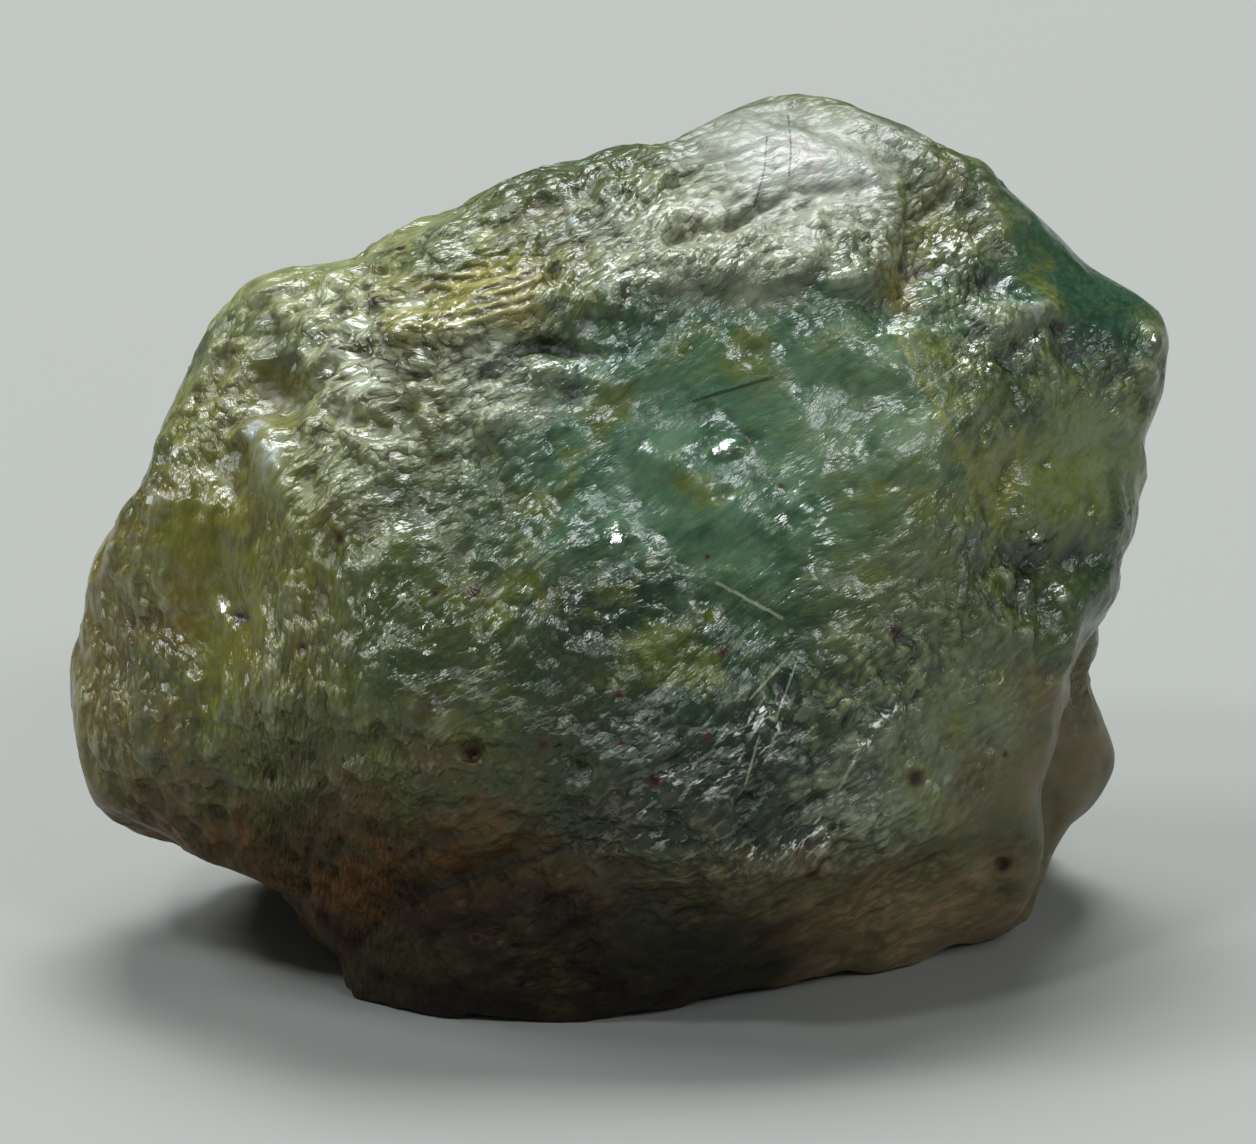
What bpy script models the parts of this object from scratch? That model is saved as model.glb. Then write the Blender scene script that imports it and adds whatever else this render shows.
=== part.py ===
"""A rough zircon crystal, worn and etched, grown as one piece.

Metres, +Z up. The stone rests on a flat face at Z = 0, with the origin under the middle of its
bounding box. +X runs to the right across its broad front, which looks towards -Y.

The broad front leans back, so the stone is shaped in a leaning frame of three directions:
across (to the right), up (along the leaning front) and out (square out of the front).
Every place below is in that frame, in millimetres from a point inside the stone.
"""

import math

import bmesh
import bpy
import numpy as np
from mathutils import Vector, noise

MM = 0.001

# Size and stance
STONE_WIDTH = 15.0           # widest span across the front
LEAN = math.radians(20.0)    # how far the broad front leans back from upright
FOOT_DROP = 5.37             # the resting face lies this far below the inner point
FOOT_SNAP = 0.05             # points this near the resting face are set on it before the cut
FOOT_GAP = 0.002             # points of the cut this near each other are one point

# Mesh and finish
EDGE_CUTS = 22               # points along each edge of the icosahedron that starts the mesh
STRETCH = (1.35, 1.15, 1.0)  # evens out the triangles over the long stone
FACET_SHARPNESS = 36.0       # how crisply the worn facets meet
OUTLINE_STEP = 2.0           # degrees between the bearings at which the outline is fitted
SHARP_EDGE = math.radians(38.0)
SKIN_COLOUR = (0.085, 0.115, 0.070, 1.0)
SKIN_ROUGHNESS = 0.28

# Outline of the stone, square on to the front: (across, up), clockwise from the left shoulder
TOP_EDGE = [
    (-5.55, 3.25), (-5.35, 3.50), (-5.10, 3.75), (-4.80, 3.95), (-4.45, 4.05), (-3.95, 4.10),
    (-3.65, 4.15), (-2.95, 4.55), (-2.15, 4.85), (-1.55, 5.20), (-0.80, 5.45), (-0.15, 5.65),
    (0.65, 5.75), (1.05, 5.95), (1.60, 6.20), (2.15, 6.35), (2.75, 6.30), (3.35, 6.10),
    (4.00, 5.85), (4.45, 5.65), (4.95, 5.45), (5.20, 5.10), (5.60, 4.80), (6.00, 4.40),
    (6.40, 4.05), (7.10, 3.65), (7.45, 3.35),
]
RIGHT_EDGE = [
    (7.50, 2.85), (7.45, 2.35), (7.20, 1.50), (7.25, 1.35), (7.15, 0.85), (6.90, 0.10), (6.80, -0.50),
]
MAIN_RIGHT_EDGE = [(6.50, -1.05), (6.05, -1.80), (5.95, -2.60), (5.80, -3.25), (5.80, -4.20), (5.75, -4.90)]
LOBE_EDGE = [
    (6.60, -1.10), (6.50, -1.60), (6.70, -2.00), (6.90, -2.70), (6.70, -3.15), (6.40, -3.60),
    (6.00, -4.00), (5.80, -4.70),
]
UNDERSIDE = [(5.20, -5.90), (3.50, -6.60), (1.00, -7.10), (-1.50, -7.30), (-3.20, -7.00), (-3.80, -6.20)]
LEFT_EDGE = [
    (-3.85, -5.50), (-4.25, -5.10), (-4.55, -4.60), (-5.00, -4.40), (-5.70, -4.15), (-6.55, -3.80),
    (-7.20, -3.35), (-7.35, -2.75), (-7.50, -2.00), (-7.50, -1.50), (-7.40, -0.75), (-7.25, -0.10),
    (-6.90, 0.60), (-6.45, 1.05), (-6.20, 1.90), (-5.90, 2.55),
]
WHOLE_OUTLINE = TOP_EDGE + RIGHT_EDGE + LOBE_EDGE + UNDERSIDE + LEFT_EDGE
FRONT_OUTLINE = TOP_EDGE + RIGHT_EDGE + MAIN_RIGHT_EDGE + UNDERSIDE + LEFT_EDGE
LOBE_START = 0.02            # slope behind the rim where the lobe starts to show
LOBE_END = 0.24              # slope behind the rim where it has its full width

# Worn facets: a point on each and the way it faces, both as (across, up, out)
FACETS = {
    "broad front": ((1.5, 0.0, 3.75), (0.04, 0.12, 0.99)),
    "upper band": ((0.0, 3.65, 3.3), (-0.10, 0.70, 0.70)),
    "top facet": ((2.3, 5.9, 1.3), (0.10, 0.85, 0.52)),
    "left shoulder": ((-4.2, 3.3, 1.7), (-0.48, 0.52, 0.70)),
    "left face": ((-5.9, -0.6, 2.2), (-0.66, 0.10, 0.74)),
    "right shoulder": ((6.0, 3.6, 1.1), (0.60, 0.38, 0.70)),
    "right cheek": ((6.3, 0.6, 1.7), (0.66, 0.10, 0.74)),
    "lower right": ((5.2, -2.6, 2.3), (0.60, -0.16, 0.78)),
    "under the front, left": ((-1.5, -6.26, 1.5), (-0.16, -0.58, 0.80)),
    "under the front, right": ((3.6, -5.6, -0.25), (0.34, -0.82, 0.46)),
    "lower left": ((-5.0, -4.2, 1.5), (-0.42, -0.62, 0.66)),
    "back": ((0.0, 0.5, -5.1), (0.06, 0.18, -0.98)),
    "upper back": ((0.5, 4.4, -3.0), (0.10, 0.72, -0.69)),
    "left back": ((-5.4, 0.3, -2.8), (-0.70, 0.12, -0.70)),
    "right back": ((5.6, 1.9, -3.0), (0.72, 0.22, -0.66)),
    "lower back": ((-1.0, -4.4, -3.9), (-0.12, -0.55, -0.83)),
}

# Relief on the front: a path of (across, up) places, then the half width and the height
RIDGES = {
    "swell of the top": ([(1.80, 5.35), (2.70, 5.40)], 0.70, 0.26),
    "left knob": ([(-4.70, 1.65), (-4.70, 1.35)], 0.30, 0.22),
    "lower left knob": ([(-4.50, 1.00), (-4.35, 0.40)], 0.26, 0.14),
    "left ridge": ([(-4.30, 0.00), (-4.55, -0.85), (-4.70, -1.80)], 0.24, 0.16),
    "far left ridge": ([(-6.25, 0.90), (-6.45, -0.40), (-6.30, -1.60), (-6.35, -2.70)], 0.26, 0.12),
    "shoulder ridge": ([(-4.90, 3.60), (-4.20, 3.20), (-3.00, 2.95), (-2.30, 3.00)], 0.26, 0.16),
    "band ridge": ([(-2.65, 3.20), (-1.90, 3.65), (-1.20, 3.95)], 0.22, 0.14),
    "upper band ridge": ([(-2.80, 4.05), (-1.60, 4.50), (-0.60, 4.60)], 0.24, 0.12),
    "lump over the centre": ([(-1.70, 1.90), (-1.20, 1.95)], 0.32, 0.10),
    "right shoulder lump": ([(5.10, 3.20), (5.80, 3.25)], 0.34, 0.18),
    "rim lump": ([(7.20, 2.90), (7.15, 2.50)], 0.26, 0.14),
    "right lump": ([(5.45, -0.30), (5.45, -0.95)], 0.26, 0.14),
    "curled ridge": ([(6.75, -0.35), (6.40, -0.50), (6.12, -1.10), (6.02, -1.80)], 0.24, 0.26),
    "centre ridge": ([(-1.20, -0.05), (0.20, 0.45), (1.70, 0.60), (2.60, 0.75)], 0.36, 0.08),
    "lower edge": ([(-3.40, -2.85), (-0.90, -3.25), (0.50, -4.10), (3.60, -3.85), (5.00, -3.10)], 0.40, 0.10),
}
GROOVES = {
    "seam under the top facet": (
        [(0.55, 4.35), (1.20, 4.45), (1.80, 4.70), (2.30, 4.95), (2.85, 5.05), (3.30, 5.05)], 0.20, 0.24,
    ),
    "upper right groove": ([(4.35, 4.80), (4.05, 4.20), (3.70, 3.50)], 0.32, 0.26),
    "shoulder hollow": ([(5.95, 3.10), (6.30, 2.70)], 0.28, 0.16),
    "crevice": ([(-3.70, 1.90), (-3.00, 1.75)], 0.20, 0.20),
    "left hollow": ([(-4.75, 2.35), (-4.45, 2.25)], 0.34, 0.24),
    "left furrow": ([(-5.35, 1.40), (-5.45, 0.10), (-5.50, -1.40)], 0.30, 0.16),
    "gap under the band": ([(-3.00, 2.60), (-2.00, 2.75), (-0.75, 2.80)], 0.18, 0.12),
    "fracture, left arm": ([(4.50, 1.60), (5.15, 0.60)], 0.18, 0.12),
    "fracture, right arm": ([(5.40, 1.40), (5.15, 0.60)], 0.18, 0.12),
    "right hollow": ([(5.25, 0.25), (5.90, 0.10), (6.40, 0.00)], 0.36, 0.18),
    "hollow by the curl": ([(6.50, -1.15), (6.35, -1.60)], 0.24, 0.24),
    "round pit": ([(-1.98, -2.59)], 0.22, 0.22),
    "crack under the lower edge": (
        [(-0.80, -3.90), (-1.50, -4.10), (-2.05, -4.30), (-2.55, -4.50), (-3.20, -4.80)], 0.22, 0.22,
    ),
    "slot at the lower right": ([(5.10, -4.15), (5.35, -4.10)], 0.16, 0.16),
}
# Ledges on the front: the side to the left of the path stands proud
LEDGES = {
    "ledge under the upper band": ([(-3.10, 3.00), (-0.80, 3.50), (1.10, 3.90), (3.50, 3.75)], 0.60, 0.20),
    "ledge over the centre": ([(-1.90, 2.60), (-0.35, 2.40), (0.60, 2.55)], 0.35, 0.12),
    "lower terrace": (
        [(0.40, -3.55), (1.50, -3.60), (2.95, -3.00), (3.25, -2.50), (4.10, -1.60)], 0.45, 0.10,
    ),
    "outer terrace": ([(3.10, -3.80), (3.80, -3.40), (4.45, -2.90), (5.30, -2.00)], 0.40, 0.10),
    "left terrace": ([(-4.90, -2.70), (-3.90, -2.20), (-2.90, -2.35)], 0.40, 0.10),
}
# The same on the back
BACK_LEDGES = {
    "long back ledge": (
        [(-4.60, 2.10), (-2.50, 2.60), (0.60, 1.90), (3.60, 2.70), (4.70, 2.20)], 0.70, 0.24,
    ),
    "low back ledge": ([(-4.20, -2.60), (-1.60, -1.70), (1.40, -2.40), (4.00, -1.70)], 0.60, 0.20),
    "short back ledge": ([(0.80, 0.60), (2.20, -0.30), (3.60, 0.30)], 0.45, 0.16),
}
BACK_GROOVES = {
    "back furrow": ([(-3.90, 0.90), (-2.70, -0.10), (-2.30, -1.10)], 0.32, 0.26),
    "hollow above the lobe": ([(4.60, -0.60), (5.40, -1.30)], 0.50, 0.34),
    "upper back groove": ([(1.40, 4.60), (2.10, 3.60)], 0.28, 0.24),
}

# Relief round the sides, whose paths are (across, up, out) places
SIDE_RIDGES = {
    "swell of the lobe": ([(6.2, -2.7, -2.4)], 1.10, 0.25),
    "top ridge": ([(-3.2, 4.6, -0.3), (-1.0, 5.3, -1.2), (0.6, 5.4, -1.8)], 0.45, 0.22),
    "left tip ridge": ([(-7.3, -0.8, 0.2), (-7.2, -2.4, -0.8)], 0.40, 0.14),
    "right back ridge": ([(7.0, 1.8, -1.0), (6.4, 0.2, -2.2)], 0.45, 0.22),
}
SIDE_GROOVES = {
    "cleft beside the lobe": (
        [(6.3, -1.3, -0.5), (6.0, -2.4, -0.7), (5.8, -3.4, -0.9), (5.7, -4.3, -1.1)], 0.36, 0.60,
    ),
    "notch behind the top": ([(2.6, 5.6, -1.2), (3.9, 5.0, -1.8)], 0.40, 0.30),
    "left back hollow": ([(-6.4, 0.8, -1.0), (-6.6, -0.8, -1.6)], 0.50, 0.26),
    "right side hollow": ([(7.1, 0.9, -0.6), (6.9, -0.2, -1.2)], 0.40, 0.26),
}

# Flake scars and swell all over the skin
FLAKE_COUNT = 150
FLAKE_TILT = 0.10            # steepest lean of one scar
FLAKE_STEP = 0.035           # deepest scar
FLAKE_BLEND = 0.07           # softness of the edges between scars
FLAKE_SEED = 11
RIPPLE_HEIGHT = 0.05         # uneven swell over the whole stone
RIPPLE_LENGTH = 1.6
LEDGE_EDGE = 0.14            # half width of the step itself
LEDGE_SINK = 0.50            # how far the lower side sinks, as a share of the rise
LEDGE_END = 0.30             # a ledge fades out this far past its ends
SHORTEST_LEG = 1e-6          # stands for the length of a path that is one place
SIDE_BLEND = 0.40            # front and back relief meet over this much either side of the rim


def unit(vector):
    vector = np.asarray(vector, dtype=float)
    return vector / np.linalg.norm(vector)


def outline_reach(points, bearing):
    """Distance from the inner point to an outline, along each bearing."""
    across, up = np.array(points).T
    angles = np.arctan2(up, across)
    return np.interp(bearing, angles, np.hypot(across, up), period=2 * math.pi)


def ease(value):
    """Smooth step from 0 to 1."""
    value = np.clip(value, 0.0, 1.0)
    return value * value * (3 - 2 * value)


def body_reach(directions):
    """Distance from the inner point to the faceted body, along each direction."""
    across, up, out = directions.T
    bearing = np.arctan2(up, across)
    flat = np.hypot(across, up)
    front = outline_reach(FRONT_OUTLINE, bearing)
    setback = ease((-out - LOBE_START) / (LOBE_END - LOBE_START))
    rim = front + (outline_reach(WHOLE_OUTLINE, bearing) - front) * setback
    closeness = (flat / rim) ** FACET_SHARPNESS
    for point, facing in FACETS.values():
        normal = unit(facing)
        distance = float(np.dot(point, normal))
        closeness += (np.maximum(0.0, directions @ normal) / distance) ** FACET_SHARPNESS
    return closeness ** (-1 / FACET_SHARPNESS)


def start_mesh():
    """A finely divided icosahedron, as a bmesh."""
    mesh = bmesh.new()
    bmesh.ops.create_icosphere(mesh, subdivisions=1, radius=1.0)
    bmesh.ops.subdivide_edges(mesh, edges=mesh.edges, cuts=EDGE_CUTS, use_grid_fill=True)
    return mesh


def shape_body(mesh):
    """Push the points out to the faceted body, in the leaning frame."""
    places = np.array([vert.co for vert in mesh.verts]) * STRETCH
    directions = places / np.linalg.norm(places, axis=1)[:, None]
    places = directions * body_reach(directions)[:, None]
    for vert, place in zip(mesh.verts, places):
        vert.co = place


def path_offsets(places, path):
    """How far each place is from a path, on which side (left is positive) and how far past its ends."""
    nearest = np.full(len(places), np.inf)
    side = np.ones(len(places))
    overshoot = np.zeros(len(places))
    legs = list(zip(path[:-1], path[1:])) or [(path[0], path[0])]
    for number, (start, end) in enumerate(legs):
        run = np.subtract(end, start)
        length = max(np.linalg.norm(run), SHORTEST_LEG)
        along = (places - start) @ run / length
        gap = places - start - np.outer(np.clip(along, 0, length), run / length)
        distance = np.linalg.norm(gap, axis=1)
        before = np.where(along < 0, -along, 0.0) if number == 0 else 0.0
        beyond = np.where(along > length, along - length, 0.0) if number == len(legs) - 1 else 0.0
        closer = distance < nearest
        nearest = np.where(closer, distance, nearest)
        side = np.where(closer, np.sign(run[0] * gap[:, 1] - run[1] * gap[:, 0]), side)
        overshoot = np.where(closer, before + beyond, overshoot)
    return nearest, side, overshoot


def strip_height(places, strips):
    """Height of rounded strips, such as ridges, that follow their paths."""
    height = np.zeros(len(places))
    for path, half_width, rise in strips.values():
        distance = path_offsets(places, path)[0]
        height += rise * np.exp(-((distance / half_width) ** 2))
    return height


def ledge_height(places, ledges):
    """Height of ledges: proud on one side of the path, sunk on the other, dying away from it."""
    height = np.zeros(len(places))
    for path, reach, rise in ledges.values():
        distance, side, overshoot = path_offsets(places, path)
        fade = np.exp(-distance / reach - (overshoot / LEDGE_END) ** 2)
        share = np.where(side > 0, 1.0, -LEDGE_SINK)
        height += rise * share * fade * np.tanh(distance / LEDGE_EDGE)
    return height


def flake_height(places):
    """Height of shallow flat scars, each with its own lean, that meet in soft edges."""
    random = np.random.default_rng(FLAKE_SEED)
    centres = places[random.choice(len(places), FLAKE_COUNT, replace=False)]
    leans = random.normal(size=(FLAKE_COUNT, 3))
    leans *= FLAKE_TILT / np.linalg.norm(leans, axis=1)[:, None]
    steps = random.uniform(-FLAKE_STEP, FLAKE_STEP, FLAKE_COUNT)
    offsets = places[:, None, :] - centres[None, :, :]
    distance = np.linalg.norm(offsets, axis=2)
    share = np.exp(-(distance - distance.min(axis=1, keepdims=True)) / FLAKE_BLEND)
    share /= share.sum(axis=1, keepdims=True)
    heights = np.einsum("vfa,fa->vf", offsets, leans) + steps
    return (share * heights).sum(axis=1)


def ripple_height(places):
    """Slow uneven swell."""
    return np.array([RIPPLE_HEIGHT * noise.noise(Vector(place) / RIPPLE_LENGTH) for place in places])


def add_relief(mesh):
    """Raise and sink the skin along its normals: ridges, grooves, ledges and flake scars."""
    mesh.normal_update()
    places = np.array([vert.co for vert in mesh.verts])
    normals = np.array([vert.normal for vert in mesh.verts])
    flat = places[:, :2]
    front = ease(places[:, 2] / (2 * SIDE_BLEND) + 0.5)
    front_height = strip_height(flat, RIDGES) - strip_height(flat, GROOVES) + ledge_height(flat, LEDGES)
    back_height = ledge_height(flat, BACK_LEDGES) - strip_height(flat, BACK_GROOVES)
    height = front * front_height + (1 - front) * back_height
    height += strip_height(places, SIDE_RIDGES) - strip_height(places, SIDE_GROOVES)
    height += flake_height(places) + ripple_height(places)
    places += normals * height[:, None]
    for vert, place in zip(mesh.verts, places):
        vert.co = place


def fill_outline(mesh):
    """Widen each bearing until the worn skin just fills the outline of the stone."""
    places = np.array([vert.co for vert in mesh.verts])
    bearing = np.arctan2(places[:, 1], places[:, 0])
    width = np.hypot(places[:, 0], places[:, 1])
    steps = np.radians(np.arange(-180.0, 180.0, OUTLINE_STEP))
    turn = np.abs((bearing[None, :] - steps[:, None] + math.pi) % (2 * math.pi) - math.pi)
    widest = np.where(turn < math.radians(OUTLINE_STEP), width[None, :], 0.0).max(axis=1)
    wanted = outline_reach(WHOLE_OUTLINE, steps)
    gain = np.interp(bearing, steps, wanted / widest, period=2 * math.pi)
    for vert, factor in zip(mesh.verts, gain):
        vert.co.x *= factor
        vert.co.y *= factor


def stand_up(mesh):
    """Turn the leaning frame upright, cut the flat resting face and scale to metres."""
    for vert in mesh.verts:
        across, up, out = vert.co
        height = up * math.cos(LEAN) + out * math.sin(LEAN) + FOOT_DROP
        if abs(height) < FOOT_SNAP:
            height = 0.0
        vert.co = Vector((across, up * math.sin(LEAN) - out * math.cos(LEAN), height))
    everything = mesh.verts[:] + mesh.edges[:] + mesh.faces[:]
    bmesh.ops.bisect_plane(
        mesh, geom=everything, dist=FOOT_GAP, plane_co=(0, 0, 0), plane_no=(0, 0, -1), clear_outer=True,
    )
    bmesh.ops.remove_doubles(mesh, verts=mesh.verts, dist=FOOT_GAP)
    bmesh.ops.contextual_create(mesh, geom=[edge for edge in mesh.edges if edge.is_boundary])
    bmesh.ops.triangulate(mesh, faces=[face for face in mesh.faces if len(face.verts) > 3])
    low = [min(vert.co[axis] for vert in mesh.verts) for axis in range(3)]
    high = [max(vert.co[axis] for vert in mesh.verts) for axis in range(3)]
    middle = Vector(((low[0] + high[0]) / 2, (low[1] + high[1]) / 2, 0.0))
    scale = STONE_WIDTH / (high[0] - low[0]) * MM
    for vert in mesh.verts:
        vert.co = (vert.co - middle) * scale
    bmesh.ops.recalc_face_normals(mesh, faces=mesh.faces)


def skin_material():
    material = bpy.data.materials.new("zircon")
    material.use_nodes = True
    shader = material.node_tree.nodes["Principled BSDF"]
    shader.inputs["Base Color"].default_value = SKIN_COLOUR
    shader.inputs["Roughness"].default_value = SKIN_ROUGHNESS
    shader.inputs["Metallic"].default_value = 0.0
    return material


def make_crystal():
    mesh = start_mesh()
    shape_body(mesh)
    add_relief(mesh)
    fill_outline(mesh)
    stand_up(mesh)
    data = bpy.data.meshes.new("crystal")
    mesh.to_mesh(data)
    mesh.free()
    data.shade_smooth()
    data.set_sharp_from_angle(angle=SHARP_EDGE)
    data.materials.append(skin_material())
    crystal = bpy.data.objects.new("crystal", data)
    bpy.context.scene.collection.objects.link(crystal)
    return crystal


for leftover in list(bpy.data.objects):
    bpy.data.objects.remove(leftover, do_unlink=True)

make_crystal()
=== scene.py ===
import math

import bmesh
import bpy
import numpy as np
from mathutils import Matrix, Vector, noise


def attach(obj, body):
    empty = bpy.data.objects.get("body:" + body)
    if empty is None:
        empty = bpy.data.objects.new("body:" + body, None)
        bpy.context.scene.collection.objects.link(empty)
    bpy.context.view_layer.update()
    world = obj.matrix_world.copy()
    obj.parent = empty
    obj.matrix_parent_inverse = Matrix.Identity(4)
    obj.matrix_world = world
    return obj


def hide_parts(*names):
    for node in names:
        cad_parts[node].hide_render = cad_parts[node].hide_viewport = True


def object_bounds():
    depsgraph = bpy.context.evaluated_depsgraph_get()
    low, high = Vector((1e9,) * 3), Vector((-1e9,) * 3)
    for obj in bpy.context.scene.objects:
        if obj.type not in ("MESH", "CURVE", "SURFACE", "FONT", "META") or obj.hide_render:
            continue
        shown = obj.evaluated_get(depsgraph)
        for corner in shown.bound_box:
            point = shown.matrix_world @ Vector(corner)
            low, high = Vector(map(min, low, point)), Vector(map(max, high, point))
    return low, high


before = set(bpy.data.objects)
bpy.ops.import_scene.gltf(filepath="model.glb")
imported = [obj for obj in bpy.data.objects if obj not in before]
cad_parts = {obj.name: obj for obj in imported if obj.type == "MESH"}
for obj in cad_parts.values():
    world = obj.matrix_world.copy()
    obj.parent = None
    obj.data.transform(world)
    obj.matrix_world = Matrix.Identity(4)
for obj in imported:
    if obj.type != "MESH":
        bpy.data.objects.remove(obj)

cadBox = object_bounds()
mm = 0.001

# how the stone was laid out: its broad front leans back, and every place on it is given as
# (across, up, out) in millimetres from a point inside it
stance = {
    "lean": math.radians(20.0),
    "inside": Vector((0.000012, -0.000249, 0.005375)),
}
acrossAxis = Vector((1.0, 0.0, 0.0))
upAxis = Vector((0.0, math.sin(stance["lean"]), math.cos(stance["lean"])))
outAxis = Vector((0.0, -math.cos(stance["lean"]), math.sin(stance["lean"])))


class Wire:  # one socket, so that shader and geometry maths can be written as sums
    def __init__(self, sheet, socket):
        self.sheet = sheet
        self.socket = socket

    def __add__(self, other):
        return self.sheet.calc("ADD", self, other)

    def __radd__(self, other):
        return self.sheet.calc("ADD", other, self)

    def __sub__(self, other):
        return self.sheet.calc("SUBTRACT", self, other)

    def __rsub__(self, other):
        return self.sheet.calc("SUBTRACT", other, self)

    def __mul__(self, other):
        return self.sheet.calc("MULTIPLY", self, other)

    def __rmul__(self, other):
        return self.sheet.calc("MULTIPLY", other, self)

    def __neg__(self):
        return self.sheet.calc("MULTIPLY", self, -1.0)

    def __abs__(self):
        return self.sheet.calc("ABSOLUTE", self)

    def output(self, name):  # another output of the same node
        return Wire(self.sheet, self.socket.node.outputs[name])


class Sheet:  # a node tree being wired up
    def __init__(self, tree):
        self.tree = tree

    def node(self, kind, settings=None, values=None, output=0):
        made = self.tree.nodes.new(kind)
        for name, value in (settings or {}).items():
            setattr(made, name, value)
        for name, value in (values or {}).items():
            if isinstance(value, Wire):
                self.tree.links.new(value.socket, made.inputs[name])
            else:
                made.inputs[name].default_value = value
        return Wire(self, made.outputs[output])

    def calc(self, operation, *parts):
        return self.node("ShaderNodeMath", {"operation": operation}, dict(enumerate(parts)))

    def vector(self, operation, *parts, output=0):
        return self.node("ShaderNodeVectorMath", {"operation": operation}, dict(enumerate(parts)), output)

    def scaled(self, place, size):
        return self.node("ShaderNodeVectorMath", {"operation": "SCALE"}, {0: place, "Scale": size})

    def dot(self, place, axis):
        return self.vector("DOT_PRODUCT", place, axis, output="Value")

    def join(self, x, y, z):
        return self.node("ShaderNodeCombineXYZ", {}, {0: x, 1: y, 2: z})

    def step(self, value, low, high, start=0.0, end=1.0):  # start below low, end above high, smooth between
        limits = {"From Min": low, "From Max": high, "To Min": start, "To Max": end}
        return self.node("ShaderNodeMapRange", {"interpolation_type": "SMOOTHSTEP"},
                         {"Value": value, **limits})

    def mix(self, mask, first, second):  # two colours
        return self.node("ShaderNodeMix", {"data_type": "RGBA"}, {0: mask, 6: first, 7: second}, output=2)

    def noise(self, place, size=1.0, detail=2.0, rough=0.5):  # size in millimetres
        return self.node("ShaderNodeTexNoise", {"noise_dimensions": "3D"},
                         {"Vector": place, "Scale": 1.0 / size, "Detail": detail, "Roughness": rough})

    def chips(self, place, size=1.0):  # random cells; distance, colour and middle of each
        return self.node("ShaderNodeTexVoronoi", {"voronoi_dimensions": "3D"},
                         {"Vector": place, "Scale": 1.0 / size})


def leaning(points):  # places in metres to across, up and out in millimetres
    away = (points - np.array(stance["inside"])) / mm
    return [away @ np.array(axis) for axis in (acrossAxis, upAxis, outAxis)]


def ease(value, low, high):  # 0 at low, 1 at high, smooth between
    share = np.clip((value - low) / (high - low), 0.0, 1.0)
    return share * share * (3.0 - 2.0 * share)


def oval(across, up, middle, reach, turn=0.0, soft=0.4):  # 1 inside an oval, 0 outside
    cosine = math.cos(math.radians(turn))
    sine = math.sin(math.radians(turn))
    along = ((across - middle[0]) * cosine + (up - middle[1]) * sine) / reach[0]
    beside = ((up - middle[1]) * cosine - (across - middle[0]) * sine) / reach[1]
    return ease(np.hypot(along, beside), 1.0 + soft, 1.0 - soft)


def blend(first, mask, second):  # mixes a colour, or one colour for each place, into another
    return first + (np.array(second)[..., :3] - first) * mask[:, None]


grain = {
    "rise": 36.0,         # degrees that the worn streaks climb to the right on the front
    "turnFrom": -2.4,     # mm across: they turn upright between here ...
    "turnTo": -5.4,       # ... and here
    "middle": (-4.0, 0.5),
    "wander": 0.35,       # mm that they stray
    "wanderSize": 1.6,
    "seed": (11.3, 4.7, 8.1),
}


def grained(across, up, out):  # the place turned so that its first part runs along the streaks
    stray = np.array([noise.noise(Vector(place) / grain["wanderSize"] + Vector(grain["seed"]))
                      for place in np.stack([across, up, out], axis=1)]) * grain["wander"]
    rise = math.radians(grain["rise"])
    turn = rise + (math.pi / 2 - rise) * ease(across, grain["turnFrom"], grain["turnTo"])
    offAcross = across - grain["middle"][0]
    offUp = up - grain["middle"][1]
    along = offAcross * np.cos(turn) + offUp * np.sin(turn)
    beside = offUp * np.cos(turn) - offAcross * np.sin(turn) + stray
    return np.stack([along, beside, out], axis=1)


# where the skin is rough or worn smooth, as ovals on the front: middle, reach, turn, then how much
# of the relief is left there
wear = {
    "centre": ((1.9, 1.4), (3.2, 2.2), 8.0, 0.10),
    "low centre": ((1.6, -1.0), (2.4, 0.8), 18.0, 0.48),
    "left of the centre": ((-2.0, -0.6), (1.9, 1.4), 15.0, 0.45),
    "right cheek": ((6.2, 1.4), (1.1, 1.0), 0.0, 0.10),
    "upper right": ((6.4, 4.0), (1.3, 1.1), -35.0, 0.15),
    "crown": ((2.4, 5.4), (1.2, 0.70), -5.0, 0.30),
    "low right": ((4.9, -2.4), (1.1, 1.6), -25.0, 0.30),
    "right rim": ((6.2, -0.3), (0.6, 1.1), 0.0, 0.30),
    "slab": ((5.45, 3.35), (0.50, 0.24), 25.0, 0.15),
    "left face": ((-5.5, -0.2), (0.7, 1.6), 8.0, 0.30),
    "lobe": ((6.2, -3.0), (0.9, 1.1), 0.0, 0.30),
    "knob": ((-4.66, 1.30), (0.35, 0.60), 0.0, 0.30),
    "shoulder": ((-3.3, 2.6), (1.8, 1.3), 10.0, 1.40),
    "hollow": ((-4.66, 2.32), (0.40, 0.50), -30.0, 0.45),
    "crevice": ((-3.32, 1.80), (0.50, 0.25), -10.0, 0.60),
    "band": ((1.0, 4.3), (3.0, 0.8), 5.0, 1.20),
    "comb": ((-2.05, 3.52), (0.95, 0.45), 10.0, 0.50),
}
lowFront = {  # the front's lower edge, in mm: it dips in the middle and climbs at the right
    "edge": -3.15,
    "dip": 1.15,
    "dipAt": 1.9,
    "dipReach": 2.9,
    "riseFrom": 4.1,
    "riseTo": 6.2,
    "rise": 1.45,
}


def belowEdge(across, up):  # 1 on the dull brown faces under the front's lower edge
    dip = oval(across, up * 0.0, (lowFront["dipAt"], 0.0), (lowFront["dipReach"], 1.0), 0.0, 0.6)
    climb = ease(across, lowFront["riseFrom"], lowFront["riseTo"]) * lowFront["rise"]
    edge = lowFront["edge"] + climb - dip * lowFront["dip"]
    return ease(up - edge, 0.60, -0.90)


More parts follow.
